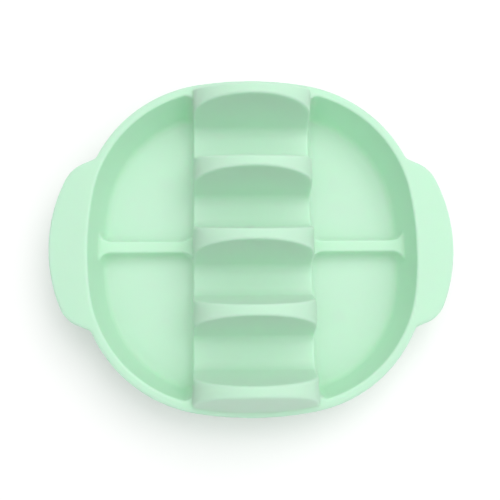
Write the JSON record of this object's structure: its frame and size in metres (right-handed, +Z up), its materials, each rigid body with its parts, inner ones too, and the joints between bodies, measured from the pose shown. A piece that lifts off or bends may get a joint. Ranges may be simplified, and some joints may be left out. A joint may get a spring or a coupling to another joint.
{
  "type": "divided suction plate",
  "caption": "Soft silicone divided plate for toddlers with an arched taco rack, side compartments, ear handles and push-in suction cups with release tabs.",
  "frame": {"origin": "on the table under the middle of the plate, in the plane of the suction lips", "axes": "+Z up, +X to the plate's right along the line of the handles, -Y towards the child"},
  "size_m": [0.25, 0.2102, 0.064],
  "materials": {
    "plate_silicone": "matte mint-green silicone, very fine moulded texture",
    "cup_silicone": "smooth mint-green silicone, slightly glossier on the sealing lip"
  },
  "bodies": {
    "plate": {"plate_body": "plate_silicone"},
    "cup_front_left": {"suction_cup_front_left": "cup_silicone"},
    "tab_front_left": {"release_tab_front_left": "cup_silicone"},
    "cup_front_right": {"suction_cup_front_right": "cup_silicone"},
    "tab_front_right": {"release_tab_front_right": "cup_silicone"},
    "cup_rear_left": {"suction_cup_rear_left": "cup_silicone"},
    "tab_rear_left": {"release_tab_rear_left": "cup_silicone"},
    "cup_rear_right": {"suction_cup_rear_right": "cup_silicone"},
    "tab_rear_right": {"release_tab_rear_right": "cup_silicone"}
  },
  "joints": [
    {"name": "squeeze_front_left", "type": "slide", "parent": "plate", "child": "cup_front_left", "axis": [0, 0, 1], "range_m": [0, 0.002], "stiffness_N_per_m": 1000, "springref_m": -0.002},
    {"name": "peel_front_left", "type": "hinge", "parent": "cup_front_left", "child": "tab_front_left", "pos_m": [-0.07483, -0.05987, 0.0015], "axis": [-0.6247, 0.7809, 0], "range_deg": [0, 35], "stiffness_Nm_per_rad": 0.004},
    {"name": "squeeze_front_right", "type": "slide", "parent": "plate", "child": "cup_front_right", "axis": [0, 0, 1], "range_m": [0, 0.002], "stiffness_N_per_m": 1000, "springref_m": -0.002},
    {"name": "peel_front_right", "type": "hinge", "parent": "cup_front_right", "child": "tab_front_right", "pos_m": [0.07483, -0.05987, 0.0015], "axis": [-0.6247, -0.7809, 0], "range_deg": [0, 35], "stiffness_Nm_per_rad": 0.004},
    {"name": "squeeze_rear_left", "type": "slide", "parent": "plate", "child": "cup_rear_left", "axis": [0, 0, 1], "range_m": [0, 0.002], "stiffness_N_per_m": 1000, "springref_m": -0.002},
    {"name": "peel_rear_left", "type": "hinge", "parent": "cup_rear_left", "child": "tab_rear_left", "pos_m": [-0.07483, 0.05987, 0.0015], "axis": [0.6247, 0.7809, 0], "range_deg": [0, 35], "stiffness_Nm_per_rad": 0.004},
    {"name": "squeeze_rear_right", "type": "slide", "parent": "plate", "child": "cup_rear_right", "axis": [0, 0, 1], "range_m": [0, 0.002], "stiffness_N_per_m": 1000, "springref_m": -0.002},
    {"name": "peel_rear_right", "type": "hinge", "parent": "cup_rear_right", "child": "tab_rear_right", "pos_m": [0.07483, 0.05987, 0.0015], "axis": [0.6247, -0.7809, 0], "range_deg": [0, 35], "stiffness_Nm_per_rad": 0.004}
  ]
}
